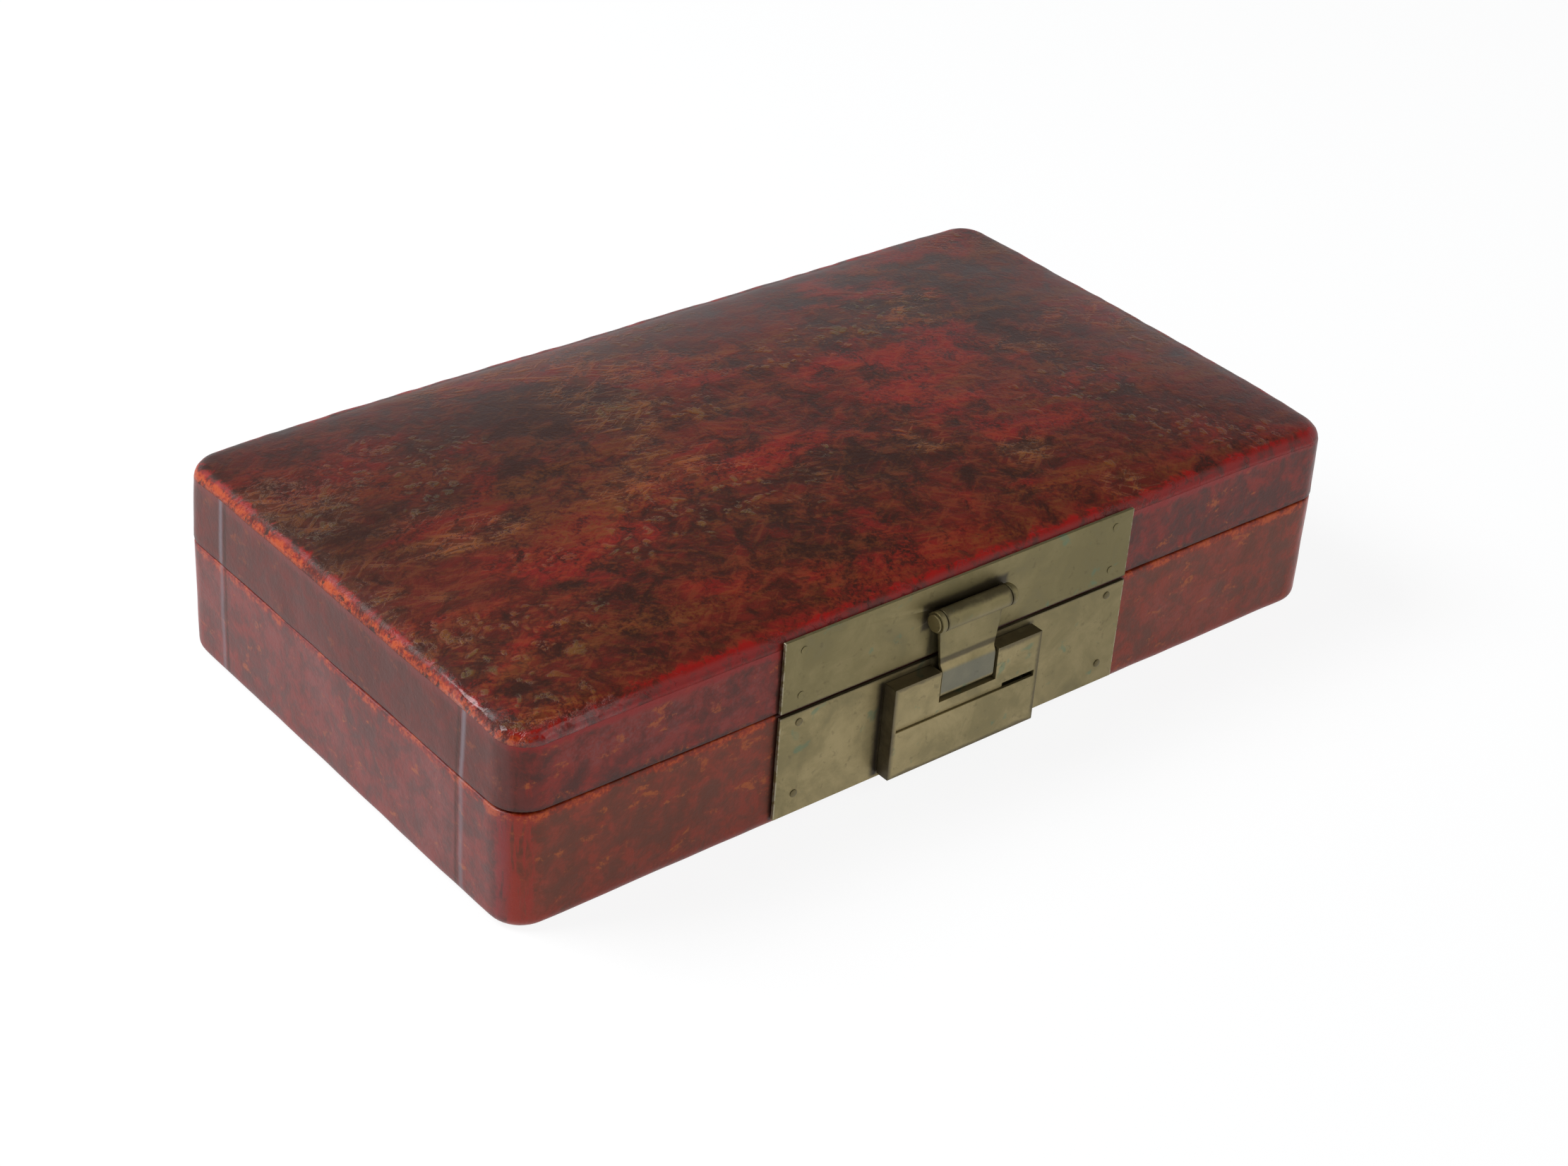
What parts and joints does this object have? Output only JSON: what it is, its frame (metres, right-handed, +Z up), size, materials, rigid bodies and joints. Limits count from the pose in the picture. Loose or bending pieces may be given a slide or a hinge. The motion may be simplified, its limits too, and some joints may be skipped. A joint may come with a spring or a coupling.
{
  "type": "lacquered leather box",
  "caption": "Low red lacquered leather box with a gently domed hinged lid, lined inside, with a brass plate clasp and sliding bolt in front.",
  "frame": {"origin": "middle of the flat underside of the box, on the surface that it stands on", "axes": "+X along the length of the box to the right as seen from the clasp, -Y out of the front with the clasp, +Z up"},
  "size_m": [0.262, 0.1577, 0.062],
  "materials": {
    "side_leather": "deep red lacquer over leather, satin gloss, worn bright red at the edges",
    "top_leather": "dark red lacquer with worn gilt flecks, satin gloss",
    "core_wood": "plain softwood boards, unfinished",
    "inner_lacquer": "thin black-brown lacquer on wood",
    "paper_lining": "aged orange-red lining cloth, matt",
    "aged_brass": "aged olive brass, dull with darker corners and spots of verdigris",
    "nail_brass": "worn brass, slightly brighter"
  },
  "bodies": {
    "base": {"base_bottom_board": "core_wood", "base_front_board": "core_wood", "base_back_board": "core_wood", "base_left_board": "core_wood", "base_right_board": "core_wood", "base_front_lip": "inner_lacquer", "base_back_lip": "inner_lacquer", "base_left_lip": "inner_lacquer", "base_right_lip": "inner_lacquer", "base_lining": "paper_lining", "base_front_skin": "side_leather", "base_back_skin": "side_leather", "base_left_skin": "side_leather", "base_right_skin": "side_leather", "base_bottom_skin": "side_leather", "lower_plate": "aged_brass", "lower_plate_nail_1": "nail_brass", "lower_plate_nail_2": "nail_brass", "lower_plate_nail_3": "nail_brass", "lower_plate_nail_4": "nail_brass", "lock_housing": "aged_brass", "left_hinge_base_leaf": "aged_brass", "right_hinge_base_leaf": "aged_brass", "left_hinge_pin": "nail_brass", "right_hinge_pin": "nail_brass", "base_leaf_nail_1": "nail_brass", "base_leaf_nail_2": "nail_brass", "base_leaf_nail_3": "nail_brass", "base_leaf_nail_4": "nail_brass"},
    "lid": {"lid_top_board": "core_wood", "lid_front_board": "core_wood", "lid_back_board": "core_wood", "lid_left_board": "core_wood", "lid_right_board": "core_wood", "lid_lining": "paper_lining", "lid_top_skin": "top_leather", "lid_front_skin": "side_leather", "lid_back_skin": "side_leather", "lid_left_skin": "side_leather", "lid_right_skin": "side_leather", "upper_plate": "aged_brass", "upper_plate_nail_1": "nail_brass", "upper_plate_nail_2": "nail_brass", "upper_plate_nail_3": "nail_brass", "upper_plate_nail_4": "nail_brass", "hasp_pin": "nail_brass", "left_hinge_lid_leaf": "aged_brass", "right_hinge_lid_leaf": "aged_brass", "lid_leaf_nail_1": "nail_brass", "lid_leaf_nail_2": "nail_brass", "lid_leaf_nail_3": "nail_brass", "lid_leaf_nail_4": "nail_brass"},
    "hasp": {"hasp": "aged_brass"},
    "bolt": {"sliding_bolt": "aged_brass"}
  },
  "joints": [
    {"name": "lid_hinge", "type": "hinge", "parent": "base", "child": "lid", "pos_m": [0, 0.0756, 0.033], "axis": [-1, 0, 0], "range_deg": [0, 180]},
    {"name": "hasp_swing", "type": "hinge", "parent": "lid", "child": "hasp", "pos_m": [-0.001, -0.0771, 0.0452], "axis": [-1, 0, 0], "range_deg": [0, 120]},
    {"name": "bolt_slide", "type": "slide", "parent": "base", "child": "bolt", "axis": [1, 0, 0], "range_m": [0, 0.01]}
  ]
}
